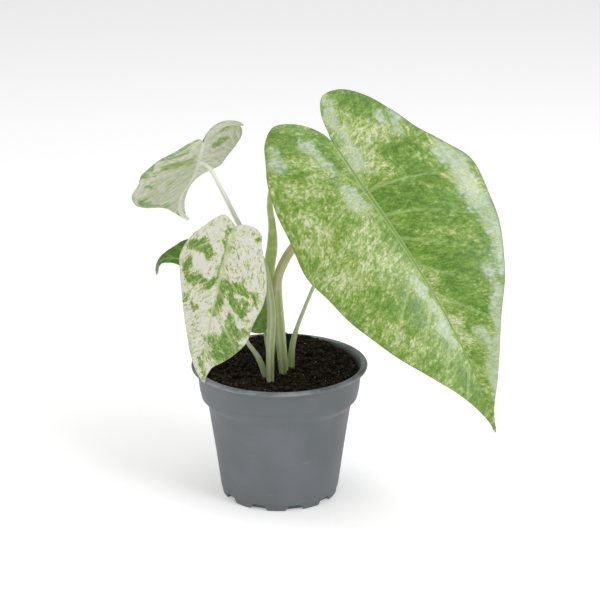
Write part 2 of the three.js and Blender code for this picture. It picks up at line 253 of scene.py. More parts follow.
LEAVES = {
    "big_leaf": dict(
        at=(57, -28, 221), heading=-47, pitch=-38, roll=-14, width=68,
        sinus=(-3, -42), tip=(3, 177),
        right=[(-1, -51), (4, -60), (14, -69), (25, -73), (36, -66), (44, -53), (52, -39),
               (56, -26), (60, -8), (64, 16), (65, 36), (60, 58), (53, 82), (43, 104),
               (28, 128), (14, 149), (6, 166)],
        left=[(-5, -54), (-9, -67), (-17, -77), (-29, -75), (-41, -61), (-49, -42), (-54, -22),
              (-63, -6), (-70, 12), (-70, 30), (-66, 48), (-58, 70), (-48, 90), (-33, 111),
              (-20, 133), (-10, 150), (-2, 163)],
        lift_right=[(0, 1)], lift_left=[(0, 23)], curl_right=-42, curl_left=-14,
        droop=[(-75, -5), (0, 0), (177, 26)], twist=[(-75, 2), (0, 0), (177, -5)],
        wave=(1.2, 4), across=120, rows=180,
        costa=((-19, -58), (15, -44)), vein_slope=0.1, vein_bow=2.2, drawn=0.6,
        # Silver strokes: silvery markings, and along the margin at negative x a painted sheen
        silver_and_sheen=[
            (-11, -44, -6, -19, 5), (15, -38, 12, -23, 3), (11, -5, 10, 8, 7),
            (18, -52, 14, -44, 4), (36, -58, 39, -44, 6), (-50, -42, -43, -26, 5),
            (-59, -2, -59, 20, 6), (-58, 24, -56, 45, 7), (-60, 43, -55, 66, 6),
            (-60, 60, -50, 84, 7), (-38, 80, -39, 98, 4), (-38, 98, -23, 128, 5),
            (-22, 125, -8, 154, 5), (6, 67, 5, 117, 3.5), (-17, -72, -8, -53, 4),
            (-42, -46, -38, -37, 3), (-14, 114, -14, 130, 4),
        ],
        green=[
            (28, -70, 25, -55, 10), (5, -45, 9, -28, 5), (36, -42, 32, -30, 6),
            (-32, -68, -44, -42, 8), (-35, -13, -38, 9, 9), (-30, 23, -48, 42, 9),
            (0, 40, -18, 59, 7), (-16, 62, -37, 86, 11), (-12, 80, -24, 101, 9),
            (-46, 64, -46, 84, 4), (-12, 93, -14, 107, 6), (27, -5, 26, 14, 8),
            (26, 62, 22, 87, 8), (23, 76, 21, 99, 7), (10, 135, 6, 155, 5), (2, -3, -2, 30, 2),
            (-12, 8, -28, 30, 12),
        ],
        pale=[
            (-18, -52, -28, -31, 9), (-13, -28, -16, -8, 8), (33, -29, 27, -3, 9),
            (-4, 66, -6, 104, 4), (-1, 84, -4, 121, 4), (33, 91, 26, 105, 8),
            (27, -38, 29, -17, 9), (-62, 16, -59, 40, 5),
            (24, 10, 22, 60, 10), (44, 0, 48, 50, 8),
        ],
    ),
    "pale_leaf": dict(
        at=(-53.7, 12, 232.3), heading=102, pitch=-39.5, roll=46, width=44,
        sinus=(0, -28), tip=(9, 115),
        right=[(2, -36), (8, -50), (18, -52), (26, -42), (31, -25), (37, -8), (45, 5), (48, 14),
               (43, 28), (37, 44), (33, 58), (25, 66), (18, 73), (13, 84), (8, 95), (7, 106)],
        left=[(-5, -37), (-11, -41), (-17, -41), (-27, -30), (-35, -11), (-40, 4), (-41, 17),
              (-46, 30), (-42, 40), (-31, 51), (-20, 64), (-11, 77), (-4, 90), (3, 104)],
        lift_right=[(-48, -24), (0, 31), (50, 16), (90, 23)],
        lift_left=[(-48, 4), (0, 16), (50, 4), (90, 30)], curl_right=-73, curl_left=42,
        droop=[(-48, -2), (0, 0), (45, -9), (80, 5), (100, 13), (115, -6)], twist=[(0, 0)],
        wave=(0.8, 3), across=90, rows=130,
        costa=((16, -34), (-14, -28)), vein_slope=0.4, vein_bow=1.2, drawn=0.4,
        silver_and_sheen=[],
        green=[
            (-6, -6, -18, -11, 4.5), (-18, -11, -25, -8, 4), (-12, -26, -28, -24, 3),
            (-6, -38, -18, -40, 2), (-18, -40, -29, -28, 2), (-29, -28, -37, -9, 2),
            (-37, -9, -41, 6, 2), (9, -14, 14, -22, 2), (28, 23, 35, 20, 2), (34, 8, 43, 3, 2.5),
            (-36, 3, -35, 4, 1.3), (-36, 19, -34, 21, 1.4), (-38, 36, -30, 48, 3.5),
            (-28, 50, -8, 74, 3.5), (2, 92, 4, 100, 3),
        ],
        pale=[],
    ),
    "front_leaf": dict(
        at=(-30, -34, 193), heading=-138, pitch=-67, roll=30, width=33,
        sinus=(0, -6), tip=(-2, 104),
        right=[(4, -10), (9, -12), (14, -9), (20, -2), (27, 7), (31, 16), (32, 23), (29, 32),
               (25, 43), (21, 55), (15, 71), (10, 85), (5, 95)],
        left=[(-4, -9), (-9, -10), (-15, -9), (-19, -6), (-21, 0), (-25, 8), (-29, 16),
              (-32, 27), (-32, 39), (-29, 52), (-27, 65), (-21, 75), (-14, 83), (-7, 90),
              (-4, 97)],
        lift_right=[(0, 0)], lift_left=[(0, 4)], curl_right=-10, curl_left=-10,
        droop=[(-12, -3), (0, 0), (104, 30)], twist=[(0, 0)],
        wave=(0.7, 3), across=84, rows=140,
        costa=((10, -9), (-9, -8)), vein_slope=0.45, vein_bow=1.2, drawn=0.9,
        silver_and_sheen=[],
        green=[
            (26, 15, 17, 11, 3.5), (17, 11, 12, 15, 3), (26, 25, 21, 32, 3.5), (19, 34, 9, 35, 3),
            (9, 35, 3, 29, 2), (-3, 31, -18, 32, 3.5), (-2, 34, -2, 51, 3), (-18, 33, -27, 35, 3),
            (-12, 38, -20, 46, 2.5), (-5, 74, -19, 62, 6), (-8, 80, -19, 72, 5.5),
            (1, 84, 0, 99, 2.5), (-12, 50, -18, 58, 2.5), (2, -4, 0, 26, 1.6),
            (-17, -5, -19, -3, 1.5), (14, 50, 13, 52, 1.6), (20, 47, 21, 52, 1.5),
        ],
        pale=[(19, 21, 14, 22, 3)],
    ),
    "small_leaf": dict(
        at=(-15, 6, 137), heading=168, pitch=23, roll=21, width=30,
        sinus=(0, -9), tip=(0, 88),
        right=[(3, -8), (8, -5), (14, 0), (20, 8), (25, 20), (27, 34), (25, 48), (17, 60),
               (8, 68), (3, 78)],
        left=[(-5, -13), (-12, -16), (-19, -15), (-22, -9), (-22, 3), (-18, 19), (-12, 35),
              (-6, 48), (-4, 60), (-2.5, 73)],
        lift_right=[(0, 25)], lift_left=[(-10, -30), (20, -30), (60, -21)],
        curl_right=-28, curl_left=-19,
        droop=[(-30, -10), (0, 0), (48, -3), (66, 33), (73, 58), (84, 100)], twist=[(0, 0)],
        wave=(0.5, 3), across=60, rows=90,
        costa=((12, -7), (-12, -11)), vein_slope=0.45, vein_bow=1.2, drawn=0.6,
        silver_and_sheen=[], green=[(0, -5, 0, 70, 30)], pale=[(8, 0, -20, -14, 8)],
    ),
    "rear_leaf": dict(
        at=(38, 27, 172), heading=30, pitch=-22, roll=-8, width=26,
        sinus=(0, -15), tip=(0, 70),
        right=[(1, -21), (6, -28), (13, -29), (19, -21), (23, -8), (26, 8), (24, 22), (18, 38),
               (10, 53), (4, 63)],
        left=[(-1, -21), (-6, -28), (-13, -29), (-19, -21), (-23, -8), (-26, 8), (-24, 22),
              (-18, 38), (-10, 53), (-4, 63)],
        lift_right=[(0, 12)], lift_left=[(0, 12)], curl_right=-30, curl_left=-30,
        droop=[(-30, -8), (0, 0), (70, 40)], twist=[(0, 0)],
        wave=(0.5, 3), across=60, rows=90,
        costa=((9, -20), (-9, -20)), vein_slope=0.3, vein_bow=1.5, drawn=0.6,
        silver_and_sheen=[(-6, -16, -4, -6, 2), (16, 8, 14, 22, 4)],
        green=[(12, -20, 18, -6, 4), (-14, 6, -20, 20, 5), (4, 30, 8, 46, 4)],
        pale=[(-12, -18, -16, -6, 4), (6, 4, 10, 20, 4)],
    ),
}


# How close together the places are from which a blade's bend is worked out
STEP = 0.5


def midrib_x(leaf, y):
    """The midrib's sideways place at y."""
    sinus, tip = leaf["sinus"], leaf["tip"]
    return eased([sinus[::-1], (0, 0), (tip[1] * 0.75, 0), tip[::-1]], y)


def blade_axes(leaf):
    """Across the blade to its right, along it to its tip, and up from its face."""
    heading, pitch, roll = (math.radians(leaf[key]) for key in ("heading", "pitch", "roll"))
    along = Vector((math.cos(pitch) * math.cos(heading), math.cos(pitch) * math.sin(heading),
                    math.sin(pitch)))
    level = Vector((math.sin(heading), -math.cos(heading), 0))
    upright = level.cross(along)
    across = level * math.cos(roll) + upright * math.sin(roll)
    return np.array([across, along, across.cross(along)])


def bent(leaf, x, y):
    """Places on the bent blade, in millimetres, for places x, y on the flat one."""
    rib = midrib_x(leaf, y)
    reach = np.abs(x - rib)
    side = np.where(x < rib, -1.0, 1.0)
    lift = np.where(side > 0, eased(leaf["lift_right"], y), eased(leaf["lift_left"], y))
    lift = np.radians(lift)
    curl = np.radians(np.where(side > 0, leaf["curl_right"], leaf["curl_left"])) / leaf["width"]
    out = side * (np.sin(lift + curl * reach) - np.sin(lift)) / curl
    height, count = leaf["wave"]
    phase = 2 * np.pi * count * y / leaf["tip"][1] + side
    rise = ((np.cos(lift) - np.cos(lift + curl * reach)) / curl
            + height * (reach / leaf["width"]) ** 2 * np.sin(phase))
    twist = np.radians(eased(leaf["twist"], y))
    across = (rib + out) * np.cos(twist) - rise * np.sin(twist)
    above = (rib + out) * np.sin(twist) + rise * np.cos(twist)
    # The midrib's run and fall are summed along it, step by step
    steps = np.arange(leaf["droop"][0][0] - 10, leaf["tip"][1] + 10.0, STEP)
    angles = np.radians(eased(leaf["droop"], steps))
    middle = (angles[1:] + angles[:-1]) / 2
    run = np.concatenate([[0], np.cumsum(np.cos(middle) * STEP)])
    fall = np.concatenate([[0], np.cumsum(-np.sin(middle) * STEP)])
    run, fall = run - np.interp(0, steps, run), fall - np.interp(0, steps, fall)
    angle = np.interp(y, steps, angles)
    ahead = np.interp(y, steps, run) + above * np.sin(angle)
    up = np.interp(y, steps, fall) + above * np.cos(angle)
    return np.stack([across, ahead, up], -1) @ blade_axes(leaf) + np.array(leaf["at"], float)


def normals(leaf, x, y):
    across = bent(leaf, x + STEP, y) - bent(leaf, x - STEP, y)
    along = bent(leaf, x, y + STEP) - bent(leaf, x, y - STEP)
    normal = np.cross(across, along)
    return normal / np.linalg.norm(normal, axis=-1, keepdims=True)


def line_distance(x, y, line):
    """How far each place is from a line of short straight stretches, and how far along it."""
    best = np.full(x.shape, 1e9)
    share = np.zeros(x.shape)
    line = np.array(line, float)
    for i in range(len(line) - 1):
        start, step = line[i], line[i + 1] - line[i]
        t = np.clip(((x - start[0]) * step[0] + (y - start[1]) * step[1]) / (step @ step), 0, 1)
        gap = np.hypot(x - start[0] - t * step[0], y - start[1] - t * step[1])
        nearer = gap < best
        best = np.where(nearer, gap, best)
        share = np.where(nearer, (i + t) / (len(line) - 1), share)
    return best, share


def stroke_mask(strokes, x, y):
    """1 in the middle of a stroke, 0.5 at its edge, 0 well outside."""
    mask = np.zeros(x.shape)
    for x1, y1, x2, y2, width in strokes:
        gap = line_distance(x, y, [(x1, y1), (x2, y2)])[0]
        mask = np.maximum(mask, np.clip(1 - gap / (2 * width), 0, 1))
    return mask


# Where side veins leave the midrib, and where forks leave the lobes' main veins, as shares
# of their length
VEIN_STARTS = (0.0, 0.11, 0.22, 0.34, 0.46, 0.59, 0.73)
FORK_STARTS = (0.45, 0.75)
VEIN_POINTS = 9
VEIN_CURVE = 0.35
VEIN_STOP, VEIN_OVERRUN = 2.5, 40


def vein_lines(leaf, edges):
    """The side veins as lines on the flat blade: out from the midrib, then bowing forward."""
    length, width = leaf["tip"][1], leaf["width"]
    lines = []
    for side, costa in zip((1, -1), sorted(leaf["costa"], key=lambda place: -place[0])):
        margin = edges[side]
        lines.append([(0, 0), (costa[0] * 0.4, costa[1] * 0.35), costa])
        for share in VEIN_STARTS:
            slope = leaf["vein_slope"] + leaf["vein_bow"] * share
            reach = width * 1.2
            out = np.linspace(0, 1, VEIN_POINTS)
            x = midrib_x(leaf, length * share) + side * reach * out
            y = length * share + reach * (slope * out + VEIN_CURVE * out**2)
            line = np.stack([x, y], -1)
            # A vein stops short of the margin
            gap = np.array([np.hypot(*(margin - place).T).min() for place in line])
            half_width = np.interp(y, margin[:, 1], np.abs(margin[:, 0]), left=0, right=0)
            kept = (gap > VEIN_STOP) & (np.abs(x) < half_width + VEIN_OVERRUN)
            stop = VEIN_POINTS if kept.all() else np.argmin(kept)
            lines.append(line[:max(stop, 3)])
        for share in FORK_STARTS:
            fork = np.array(costa) * share
            lines.append([fork, fork + np.array([side * 0.3, -0.03]) * width])
    return lines


OUTLINE_STEPS = 600
ROW_CROWDING = 1.15
# Veins and midrib in millimetres: how wide, how deep above, and how high below
VEIN_WIDTH, RIB_WIDTH = 1.6, 1.7
VEIN_SINK, RIB_SINK = 0.35, 0.45
VEIN_RISE, RIB_RISE = 0.2, RIB_DEPTH * 0.75
# How far a marking strays, and over what length
STRAYS = ((5, 9), (2, 3))


def make_blade(name, upper, under):
    """A leaf blade: a fine grid moved to the flat outline, bent, then given its thickness."""
    leaf = LEAVES[name]
    piece = flat_grid(name + "_blade_visual", leaf["across"], leaf["rows"])
    grid = places(piece)
    # The grid's lower half covers the lobes and its upper half the blade ahead of the stalk
    part = (grid[:, 1] + 1) / 2
    share = np.abs(grid[:, 0]) ** ROW_CROWDING
    tip, sinus = leaf["tip"], leaf["sinus"]
    y = np.where(part < 0.5, sinus[1] * (1 - 2 * part), tip[1] * (2 * part - 1))
    rib = midrib_x(leaf, y)
    steps = np.linspace(0, 1, OUTLINE_STEPS)
    edges = {side: curve([sinus, *leaf[key], tip], steps) for side, key in ((1, "right"), (-1, "left"))}
    margin_x, margin_y = (np.where(grid[:, 0] > 0, np.interp(part, steps, edges[1][:, k]),
                                   np.interp(part, steps, edges[-1][:, k])) for k in (0, 1))
    flat_x = rib + (margin_x - rib) * share
    flat_y = y + (margin_y - y) * share
    # Veins and midrib are sunk into the upper face
    veins = np.zeros(len(grid))
    for line in vein_lines(leaf, edges):
        gap, along = line_distance(flat_x, flat_y, line)
        near = np.clip(1 - gap / (VEIN_WIDTH * (1 - 0.5 * along)), 0, 1)
        veins = np.maximum(veins, near * (1 - 0.6 * along))
    rib_width = RIB_WIDTH * (1 - 0.7 * np.clip(np.maximum(y, -2 * y) / tip[1], 0, 1))
    midrib = np.clip(1.3 - np.abs(flat_x - rib) / rib_width, 0, 1) * (part > 0.02)
    sunk = -VEIN_SINK * veins - RIB_SINK * midrib
    top = bent(leaf, flat_x, flat_y) + normals(leaf, flat_x, flat_y) * sunk[:, None]
    move_to(piece, top * MM)
    store(piece, "vein", veins)
    store(piece, "midrib", midrib)
    store(piece, "edge", share)
    # Markings are drawn out along the side veins, which run forward from the midrib
    reach = flat_x - midrib_x(leaf, flat_y)
    forward = (leaf["vein_slope"] + 0.3) * np.clip((flat_y + 12) / 40, -0.8, 1)
    level = np.zeros(len(grid))
    streak = np.stack([flat_y - forward * np.abs(reach), reach * leaf["drawn"], level], -1)
    store(piece, "streak", streak * MM)
    # Strokes stray from their straight course, a little at two sizes
    flat = np.stack([flat_x, flat_y, level], -1)
    strayed_x, strayed_y = flat_x, flat_y
    for k, (far, size) in enumerate(STRAYS):
        strayed_x = strayed_x + far * lumps(flat, size, 2 + 4 * k)
        strayed_y = strayed_y + far * lumps(flat, size, 4 + 4 * k)
    for key in ("silver_and_sheen", "green", "pale"):
        store(piece, key, stroke_mask(leaf[key], strayed_x, strayed_y))
    piece.data.materials.append(upper)
    piece.data.materials.append(under)
    pick(piece)
    bpy.ops.object.mode_set(mode="EDIT")
    bpy.ops.mesh.select_all(action="SELECT")
    bpy.ops.mesh.remove_doubles(threshold=2 * MERGE_GAP * MM)
    bpy.ops.object.mode_set(mode="OBJECT")
    wall = piece.modifiers.new("thickness", "SOLIDIFY")
    wall.thickness = VISIBLE_THICKNESS * MM
    wall.offset = 0
    wall.material_offset = 1
    wall.material_offset_rim = 0
    apply_modifiers(piece)
    lower_midrib(piece)
    smooth(piece)
    finish_piece(piece, name + "_blade", name + "_blade")


def lower_midrib(piece):
    """Rounds the midrib and veins out of the under face, where a leaf's veins stand out."""
    mesh = piece.data
    count = len(mesh.vertices)
    under = np.zeros(count, bool)
    for face in mesh.polygons:
        if face.material_index == 1:
            under[list(face.vertices)] = True
    midrib, veins = np.empty(count), np.empty(count)
    mesh.attributes["midrib"].data.foreach_get("value", midrib)
    mesh.attributes["vein"].data.foreach_get("value", veins)
    points = places(piece)
    facing = np.empty(count * 3)
    mesh.vertices.foreach_get("normal", facing)
    depth = (RIB_RISE * midrib + VEIN_RISE * veins) * under
    move_to(piece, points + facing.reshape(-1, 3) * (depth * MM)[:, None])


# Stalks, in millimetres and degrees. Paths and radii are those of the CAD. A sheath is the
# open, winged lower part of a leaf stalk. Its groove faces a direction, in degrees from +X
# as seen from above, and ends at a share of the length.
STALKS = {
    "big_leaf": dict(
        path=[(3, -9, 88), (1, -9, 113), (-1, -8, 141), (-1, -8, 155), (3, -9, 167),
              (10, -11, 179), (22, -14, 191), (40, -18, 205)],
        radius=[(0, 3.1), (0.3, 3.6), (0.42, 3.2), (0.6, 3.1), (1, 2.2)],
        groove=-75, sheath=0.45, depth=0.14,
    ),
    "pale_leaf": dict(
        path=[(-6, -20, 86), (-6, -19, 109), (-5, -17, 130), (-6, -14, 146), (-9, -9, 163),
              (-16, -4, 177), (-26, 1, 190), (-37, 6, 211)],
        radius=[(0, 2.4), (0.35, 2.9), (0.48, 2.2), (0.6, 1.9), (1, 1.3)],
        groove=-60, sheath=0.48, depth=0.18,
    ),
    "front_leaf": dict(
        path=[(-10, -12, 88), (-14, -13, 101), (-22, -14, 114), (-29, -15, 132), (-33, -18, 154),
              (-34, -23, 172)],
        radius=[(0, 1.8), (0.2, 2), (0.3, 1.5), (1, 1.2)],
        groove=-20, sheath=0.3, depth=0.2,
    ),
    "small_leaf": dict(
        path=[(-6, -2, 88), (-8, 1, 103), (-11, 6, 117)],
        radius=[(0, 1.6), (0.4, 1.4), (1, 1.1)],
        groove=-30, sheath=0.35, depth=0.15,
    ),
    "rear_leaf": dict(
        path=[(8, 3, 89), (9, 3, 105), (12, 4, 117), (17, 6, 130), (24, 10, 146), (32, 17, 160)],
        radius=[(0, 2.7), (0.33, 1.9), (0.42, 1.4), (1, 1.1)],
        groove=-120, sheath=0.36, depth=0.2,
    ),
}
# How far each stalk and the roll reach down into the soil
ROOT_DEPTH = 16
NEW_LEAF = dict(
    path=[(-5, 22, 87), (-5, 22, 112), (-6, 22, 140), (-6.5, 22, 156), (-5, 22, 170),
          (-5, 22, 184), (-6.5, 22, 198), (-5.5, 22, 209), (-2, 22, 218)],
    radius=[(0, 2), (0.35, 2.2), (0.5, 3.2), (0.62, 3.8), (0.78, 2.4), (0.93, 1.5), (1, 0.7)],
)


# Round a stalk, in radians: how wide its groove is, and where the sheath's edges are
GROOVE_SPREAD = 0.36
WING_PLACE, WING_SPREAD = 0.66, 0.13
NEAR = 0.005


def make_stem(node, path, radius, outline, finish, sides=36, steps=150):
    """A stem along a path. outline gives, for each angle and share, the section's reach, and
    how far each place is in the sheath's groove or on its papery edges. The groove's share
    later takes a painted shade."""
    x, y, z = path[0]
    path = [(x, y, z - ROOT_DEPTH), *path]
    piece = flat_grid(node + "_visual", sides, steps)
    grid = places(piece)
    share = (grid[:, 1] + 1) / 2
    angle = (grid[:, 0] + 1) * np.pi
    centre = curve(path, share)
    ahead = curve(path, np.minimum(share + NEAR, 1)) - curve(path, np.maximum(share - NEAR, 0))
    ahead /= np.linalg.norm(ahead, axis=-1, keepdims=True)
    side = np.cross(ahead, (0, -1, 0.2))
    side /= np.linalg.norm(side, axis=-1, keepdims=True)
    front = np.cross(side, ahead)
    shape, groove, wings = outline(angle, share)
    reach = (eased(radius, share) * shape)[:, None]
    # Angle 0 points to the right, and -90 degrees to the front
    out = side * np.cos(angle)[:, None] - front * np.sin(angle)[:, None]
    move_to(piece, (centre + out * reach) * MM)
    store(piece, "around", np.stack([np.cos(angle), np.sin(angle), share], -1))
    store(piece, "length", share)
    store(piece, "groove", groove)
    store(piece, "wings", wings)
    # The rolled-up grid is closed along its seam and at both ends
    clean(piece)
    bpy.ops.object.mode_set(mode="EDIT")
    bpy.ops.mesh.select_mode(type="EDGE")
    bpy.ops.mesh.select_all(action="DESELECT")
    bpy.ops.mesh.select_non_manifold()
    bpy.ops.mesh.edge_face_add()
    clean(piece)
    smooth(piece)
    finish_piece(piece, node, node, finish)


def make_stalk(name, finish):
    leaf, stalk = LEAVES[name], STALKS[name]
    joint = BLADE_THICKNESS / 2 + RIB_DEPTH + JOINT_GAP
    up = blade_axes(leaf)[2]
    below = [tuple(np.array(leaf["at"]) - up * (joint + extra)) for extra in (7, 0)]
    centre = math.radians(stalk["groove"])

    def outline(angle, share):
        off = np.angle(np.exp(1j * (angle - centre)))
        sheath = np.clip((stalk["sheath"] - share) / 0.04, 0, 1)
        groove = sheath * np.exp(-(off / GROOVE_SPREAD) ** 2)
        wings = sheath * np.exp(-((np.abs(off) - WING_PLACE) / WING_SPREAD) ** 2)
        ribs = 0.012 * np.cos(11 * angle)
        hollow = stalk["depth"] * groove + 0.04 * np.exp(-(off / 0.5) ** 2)
        return 1 - hollow + 0.1 * wings + ribs, groove, wings

    make_stem(name + "_stalk", [*stalk["path"], *below], stalk["radius"], outline, finish)


def make_new_leaf(finish):
    """The youngest leaf: a roll whose outer margin laps over, with a crease beside it."""
    def outline(angle, share):
        turn = (angle / (2 * np.pi) + 0.35 - 0.5 * share) % 1
        lap = np.clip((share - 0.3) / 0.1, 0, 1)
        crease = lap * np.exp(-((turn - 0.04) / 0.04) ** 2)
        brim = lap * np.exp(-((turn - 0.96) / 0.025) ** 2)
        return 1 + 0.2 * (turn - 0.5) * lap - 0.16 * crease, crease, brim

    make_stem("new_leaf_roll", NEW_LEAF["path"], NEW_LEAF["radius"], outline, finish,
              sides=48, steps=200)


# Leaf finishes. Living taro leaf: a waxy skin over green tissue, with sectors and flecks
# that hold little or no green. The wax gives a soft satin light, more on the upper face.
LEAF_IOR = 1.45
WAXY, DULL = 0.34, 0.5
# Sizes of the markings, the skin's relief, and how deep light goes in, in millimetres
CLOUD, BLOTCH, FLECK, SPECK = 22, 6, 2.2, 1.0
SKIN_RELIEF, LEAF_GLOW = 0.4, 2


def leaf_finish(name, shades, level, gains, silver_and_sheen="#b9c6b0", vein="#a8bd7c", core="#a8bd7c",
                edge="#5d7a45", vein_part=0.35, rib_part=0.7, under=False):
    """shades: (amount, colour) from least green to most. level: the usual amount. gains: how
    much the clouds, blotches, flecks, specks, green strokes and pale strokes change it.
    vein is the colour along a vein's two sides, and core that of its sunken middle."""
    made = Finish(name)
    streak = made.add("Attribute", {"attribute_name": "streak"}, "Vector")
    grains = [made.add("TexNoise", None, Vector=streak, Scale=1 / (size * MM), Detail=3.0,
                       Roughness=0.6) for size in (CLOUD, BLOTCH, FLECK, SPECK)]
    amount = level
    for grain, gain in zip(grains, gains):
        lump = made.add("Math", {"operation": "SUBTRACT"}, i0=grain, i1=0.5)
        amount = made.add("Math", TIMES_PLUS, i0=lump, i1=gain, i2=amount)
    for key, gain in (("green", gains[4]), ("pale", -gains[5])):
        stroke = made.add("Attribute", {"attribute_name": key}, "Fac")
        inside = made.add("MapRange", EASE, Value=stroke, From_Min=0.12, From_Max=0.78)
        amount = made.add("Math", TIMES_PLUS, i0=inside, i1=gain, i2=amount)
    color = shades[0][1]
    for (low, _), (high, high_color) in zip(shades, shades[1:]):
        part = made.add("MapRange", EASE, Value=amount, From_Min=low, From_Max=high)
        color = made.add("Mix", MIX, 2, i0=part, i6=color, i7=high_color)
    # Silvery patches, broken up by the same blotches and flecks. They are partly the leaf's own silvery
    # markings and partly a painted sheen along the margin
    silver_and_sheen_patch = made.add("Attribute", {"attribute_name": "silver_and_sheen"}, "Fac")
    silver_and_sheen_patch = made.add("MapRange", EASE, Value=silver_and_sheen_patch, From_Min=0.0, From_Max=0.8, To_Max=0.6)
    silver_and_sheen_patch = made.add("Math", TIMES_PLUS, i0=grains[2], i1=1.4, i2=silver_and_sheen_patch)
    silver_and_sheen_patch = made.add("Math", TIMES_PLUS, i0=grains[1], i1=0.9, i2=silver_and_sheen_patch)
    silver_and_sheen_patch = made.add("MapRange", EASE, Value=silver_and_sheen_patch, From_Min=1.45, From_Max=2.0, To_Max=0.8)
    color = made.add("Mix", MIX, 2, i0=silver_and_sheen_patch, i6=color, i7=silver_and_sheen)
    # Veins and midrib, whose middles are a darker or a lighter line
    for tone, lowest, highest in ((vein, 0.05, 0.5), (core, 0.5, 0.9)):
        for key, part in (("vein", vein_part), ("midrib", rib_part)):
            line = made.add("Attribute", {"attribute_name": key}, "Fac")
            line = made.add("MapRange", EASE, Value=line, From_Min=lowest, From_Max=highest,
                            To_Max=part)
            color = made.add("Mix", MIX, 2, i0=line, i6=color, i7=tone)
    rim = made.add("Attribute", {"attribute_name": "edge"}, "Fac")
    rim = made.add("MapRange", EASE, Value=rim, From_Min=0.975, From_Max=1.0, To_Max=0.6)
    color = made.add("Mix", MIX, 2, i0=rim, i6=color, i7=edge)
    skin = made.add("Math", TIMES_PLUS, i0=grains[1], i1=0.8, i2=grains[3])
    bump = made.add("Bump", None, Strength=0.3, Distance=SKIN_RELIEF * MM, Height=skin)
    made.set(Base_Color=color, Roughness=DULL if under else WAXY, IOR=LEAF_IOR,
             Specular_IOR_Level=0.5, Normal=bump,
             Subsurface_Weight=0.12, Subsurface_Scale=LEAF_GLOW * MM,
             Subsurface_Radius=(0.6, 1.0, 0.25))
    return made.material


# Fresh green, dusted with yellowish flecks, with silvery patches and a painted sheen along the margin
big_upper = leaf_finish(
    "waxy_leaf_green_with_pale_flecks",
    [(0.15, "#cad0ad"), (0.4, "#aab877"), (0.58, "#86a14c"), (0.8, "#6c9034"),
     (1.15, "#4e7623")],
    0.64, (0.5, 1.1, 1.5, 1.2, 0.22, 0.2), silver_and_sheen="#c9d3c6", vein="#b2c684", core="#648c38",
    vein_part=0.4, rib_part=0.7)
# Duller than above, with light raised veins
big_under = leaf_finish(
    "leaf_underside_grey_green",
    [(0.2, "#c2cba8"), (0.4, "#adbd8e"), (0.6, "#98b078"), (0.9, "#7f9d5c")],
    0.5, (0.5, 0.6, 0.6, 0.6, 0.2, 0.2), vein="#bccb9c", core="#c9d4ac", rib_part=0.85,
    under=True)
# Cream and green in equal parts
pale_upper = leaf_finish(
    "waxy_leaf_cream_and_green",
    [(0.3, "#dcdfca"), (0.46, "#c3cfa0"), (0.56, "#8fb05c"), (0.85, "#5f8c30")],
    0.44, (0.4, 0.8, 1.0, 0.7, 0.3, 0.2), vein="#cdd8aa", core="#8da85e", edge="#9fa98a",
    rib_part=0.5)
# Greyish cream, with green showing through from above
pale_under = leaf_finish(
    "leaf_underside_cream_and_grey_green",
    [(0.2, "#d8d6c9"), (0.4, "#c8cab1"), (0.58, "#aebd8c"), (0.76, "#8ca95c"),
     (1.0, "#71953e")],
    0.41, (0.4, 0.8, 1.2, 0.8, 0.44, 0.2), vein="#d9ddc2", core="#e0e3cc", edge="#8f9a7a",
    rib_part=0.8, under=True)
# Cream, with green islands and a scatter of green flecks
front_upper = leaf_finish(
    "waxy_leaf_cream_with_green_islands",
    [(0.32, "#dbd9ce"), (0.44, "#ced0b6"), (0.53, "#b0bd83"), (0.63, "#88a44c"),
     (0.92, "#577f2c")],
    0.36, (0.2, 0.8, 1.2, 1.1, 0.4, 0.28), silver_and_sheen="#e0e2d4", vein="#d0d8b0", core="#bac78e",
    edge="#a7b28c", vein_part=0.3, rib_part=0.45)
# Cream with faint green
front_under = leaf_finish(
    "leaf_underside_cream",
    [(0.3, "#d6d7c6"), (0.5, "#c3cba8"), (0.7, "#9fb57a")],
    0.32, (0.3, 0.6, 0.8, 0.6, 0.35, 0.2), vein="#cfd8b0", core="#d8dfbf", edge="#a7b28c",
    under=True)
# Plain deep green, paler where it is shaded
small_upper = leaf_finish(
    "waxy_leaf_plain_green",
    [(0.2, "#9ab56c"), (0.4, "#6f9440"), (0.6, "#567f2c"), (0.9, "#3f6a22")],
    0.55, (0.5, 0.4, 0.5, 0.5, 0.08, 0.3), vein="#8fae62", core="#8fae62")
# A greyer, lighter green
small_under = leaf_finish(
    "leaf_underside_plain_green",
    [(0.2, "#aabf88"), (0.5, "#8da868"), (0.9, "#6f9048")],
    0.5, (0.5, 0.4, 0.5, 0.4, 0.1, 0.3), vein="#b3c78e", core="#b3c78e", under=True)

for leaf_name, upper, under in (
    ("big_leaf", big_upper, big_under),
    ("pale_leaf", pale_upper, pale_under),
    ("front_leaf", front_upper, front_under),
    ("small_leaf", small_upper, small_under),
    ("rear_leaf", big_upper, big_under),
):
    make_blade(leaf_name, upper, under)


# Stalk finishes. Living stalk: smooth, juicy, a little see-through, with fine lengthwise
# lines, faint paler bands across, and a pale papery edge along the sheath. Painted shade
# makes the sheath's groove and the roll's crease a deeper green. The pattern is
# wrapped round a stalk of usual radius and length. Sizes are in millimetres.
STALK_RADIUS, STALK_LENGTH = 2.7, 151.2
LINE_WIDTH, LINE_LENGTH, BAND_WIDTH = 0.3, 140, 4.2
LINE_RELIEF, STALK_GLOW = 0.3, 3
